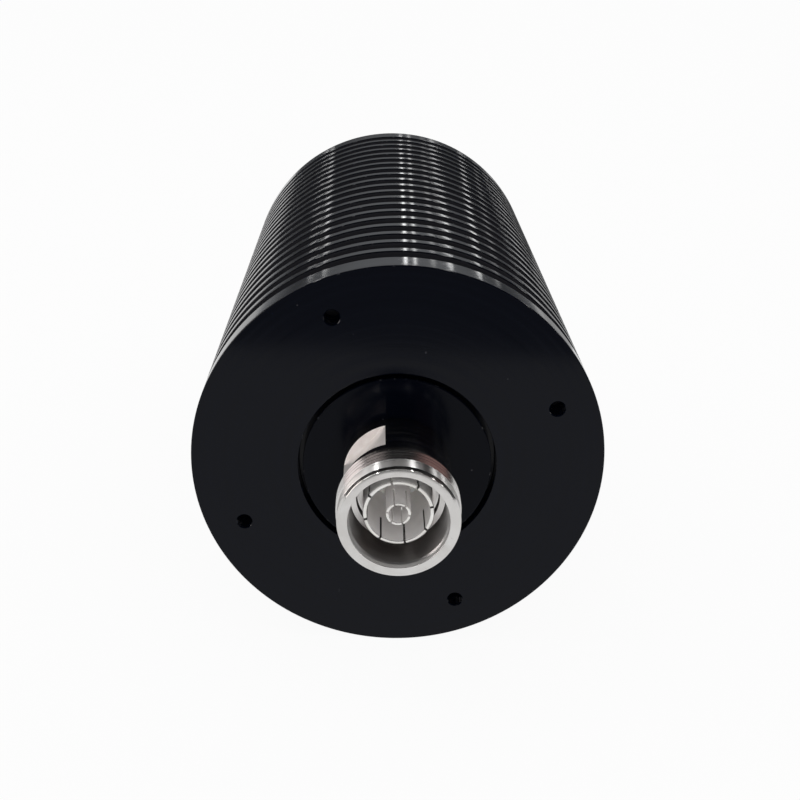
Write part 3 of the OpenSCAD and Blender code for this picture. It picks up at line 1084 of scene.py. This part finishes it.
def card(name, corners, brightness, tint=white, foot=None):
    """A glowing card between its corners."""
    shape = bmesh.new()
    shape.faces.new([shape.verts.new(Vector(corner) * MM) for corner in corners])
    glow_in_reflections(made_of(name, shape), brightness, tint, foot)


def flat_card(name, height, outline, brightness):
    """A card that lies level at a height."""
    card(name, [(x, y, height) for x, y in outline], brightness)


def aimed(centre, target):
    """The turn that makes something at the centre face the target."""
    return (Vector(target) - Vector(centre)).to_track_quat("-Z", "Y").to_matrix()


def facing_card(name, centre, width, height, brightness, tint=white):
    """A rectangular card that faces the middle of the front face."""
    turn = aimed(centre, (0, 0, 0))
    corners = [
        Vector(centre) + turn @ Vector((x * width / 2, y * height / 2, 0))
        for x, y in ((-1, -1), (1, -1), (1, 1), (-1, 1))
    ]
    card(name, corners, brightness, tint)


# The dark tent, a dome over the table
tent_radius = 1800.0
tent_sides = 48
shape = bmesh.new()
dome = [
    (tent_radius * math.cos(math.radians(tilt)), tent_radius * math.sin(math.radians(tilt)), 0)
    for tilt in range(0, 91, 10)
]
revolve(shape, dome, tent_sides, closed=False)
bmesh.ops.rotate(shape, cent=(0, 0, 0), matrix=Matrix.Rotation(math.pi / 2, 3, "X"), verts=shape.verts)
glow_in_reflections(made_of("dark_tent", shape), 0.03, tint=(0.95, 0.97, 1.0))

# The wall behind the table, each panel with its brightness at the foot and at the top
wall_y = 1000.0
for name, left, right, low, high, foot, brightness in (
    ("wall_low", -300, 300, card_foot, 130, 0.1, 0.12),
    ("wall_high", -520, 520, 130, 320, 0.1, 0.62),
    ("wall_top", -520, 520, 320, 620, 0.62, 0.62),
    ("wall_left", -700, -300, card_foot, 130, 0.5, 0.12),
    ("wall_right", 300, 700, card_foot, 130, 0.26, 0.12),
):
    card(
        name,
        [(left, wall_y, low), (right, wall_y, low), (right, wall_y, high), (left, wall_y, high)],
        brightness,
        tint=(0.93, 0.96, 1.0),
        foot=foot,
    )

# Two flat patches on the table to the right, darker than it and seen only in reflections, one a little
# over the other
grey_patch = [(58, 265), (150, 440), (190, 990), (90, 990)]
pale_patch = [(80, 190), (300, 560), (190, 700), (150, 440), (58, 265)]
flat_card("grey_patch_right", card_foot, grey_patch, 0.2)
flat_card("pale_patch_right", card_foot - 0.2, pale_patch, 0.5)

# Strip lamps in front of the wall, each from its low end to its high end, with its width and its
# brightness at both
strip_y = 900.0
for number, (low_x, low_z, high_x, high_z, width, foot, brightness) in enumerate(
    (
        (-156, 86, -258, 152, 12, 2.0, 3.8),
        (-148, 100, -192, 156, 12, 1.0, 4.0),
        (-192, 156, -223, 194, 12, 4.0, 3.2),
        (27, 165, 27, 300, 9, 0.2, 12.0),
        (49, 160, 59, 300, 9, 0.6, 7.0),
        (86, 160, 119, 270, 14, 0.4, 2.6),
        (106, 140, 140, 190, 14, 2.2, 3.0),
        (140, 190, 173, 244, 14, 3.6, 8.5),
        (168, 74, 251, 178, 14, 0.4, 7.0),
        (194, 32, 290, 120, 18, 0.5, 1.4),
    ),
    start=1,
):
    side = Vector((width / 2, 0, 0))
    low = Vector((low_x, strip_y, low_z))
    high = Vector((high_x, strip_y, high_z))
    corners = [low - side, low + side, high + side, high - side]
    card(f"strip_behind_{number}", corners, brightness, foot=foot)

# A ceiling, and strip lamps below it along the axis, each at its slant from the vertical, which draw
# the bright patches on the jack's band
flat_card("ceiling", 950, [(-600, 100), (600, 100), (600, 990), (-600, 990)], 1.0)
strip_distance = 900.0
strip_front = Vector((0, -60.0, 0))
strip_back = Vector((0, 560.0, 0))
for number, (slant, width, brightness) in enumerate(
    (
        (-50, 200, 4.5),
        (-40, 80, 2.4),
        (-33, 40, 34.0),
        (-18, 90, 1.8),
        (17, 50, 21.0),
        (49.5, 36, 18.0),
        (64, 40, 13.0),
    ),
    start=1,
):
    slant = math.radians(slant)
    middle = Vector((math.sin(slant), 0, math.cos(slant))) * strip_distance
    side = Vector((math.cos(slant), 0, -math.sin(slant))) * width / 2
    left, right = middle - side, middle + side
    corners = [left + strip_front, right + strip_front, right + strip_back, left + strip_back]
    card(f"strip_overhead_{number}", corners, brightness)

# Soft boxes and boards round the front, which face the part, and the shadow that lies before it
facing_card("left_softbox", (-950, 60, 300), 620, 560, 6.5, (1.0, 0.94, 0.92))
facing_card("right_softbox", (950, 60, 220), 420, 360, 2.5)
facing_card("left_front_softbox", (-677, -866, 170), 530, 430, 1.35, (1.0, 0.91, 0.9))
facing_card("left_front_board", (-373, -924, 465), 390, 210, 0.36, (1.0, 0.88, 0.86))
facing_card("black_board", (0, -700, 715), 1000, 300, 0.006)
facing_card("right_brown_board", (580, -891, 285), 620, 520, 0.24, (1.0, 0.6, 0.56))
shadow = [(-200, -520), (280, -520), (210, -150), (-110, -150)]
flat_card("shadow_before", card_foot, shadow, 0.3)

# Two soft lamps, which light the part and don't show in its shine
for name, centre, target, width, height, radiance in (
    ("front_fill", (0, -1200, 190), (0, 0, 0), 760, 380, 4.2),
    ("overhead_left", (-420, 60, 900), (0, 40, 0), 420, 420, 1.6),
):
    light = bpy.data.lights.new(name, "AREA")
    light.shape = "RECTANGLE"
    light.size = width * MM
    light.size_y = height * MM
    # A flat lamp sends out pi times its radiance from each square metre
    light.energy = radiance * math.pi * light.size * light.size_y
    lamp = bpy.data.objects.new(name, light)
    lamp.matrix_world = Matrix.Translation(Vector(centre) * MM) @ aimed(centre, target).to_4x4()
    bpy.context.scene.collection.objects.link(lamp)
    lamp.visible_camera = False
    lamp.visible_glossy = False


# Camera
# It stands in front of the part and looks down on it at about 26 degrees, as the photograph does.
# Its place, turn, lens and shift were fitted to the round edges that the photograph shows.
camera_place = (-6.758, -174.33, 84.674)
camera_turns = (64.0912, -2.0272, 0.9845)
camera_data = bpy.data.cameras.new("camera")
camera_data.sensor_width = 36.0
camera_data.lens = 51.413
camera_data.shift_x = 0.0536
camera_data.shift_y = 0.0810
camera = bpy.data.objects.new("camera", camera_data)
camera.location = [part * MM for part in camera_place]
camera.rotation_euler = [math.radians(turn) for turn in camera_turns]
bpy.context.scene.collection.objects.link(camera)
bpy.context.scene.camera = camera
bpy.context.scene.view_settings.view_transform = "Standard"
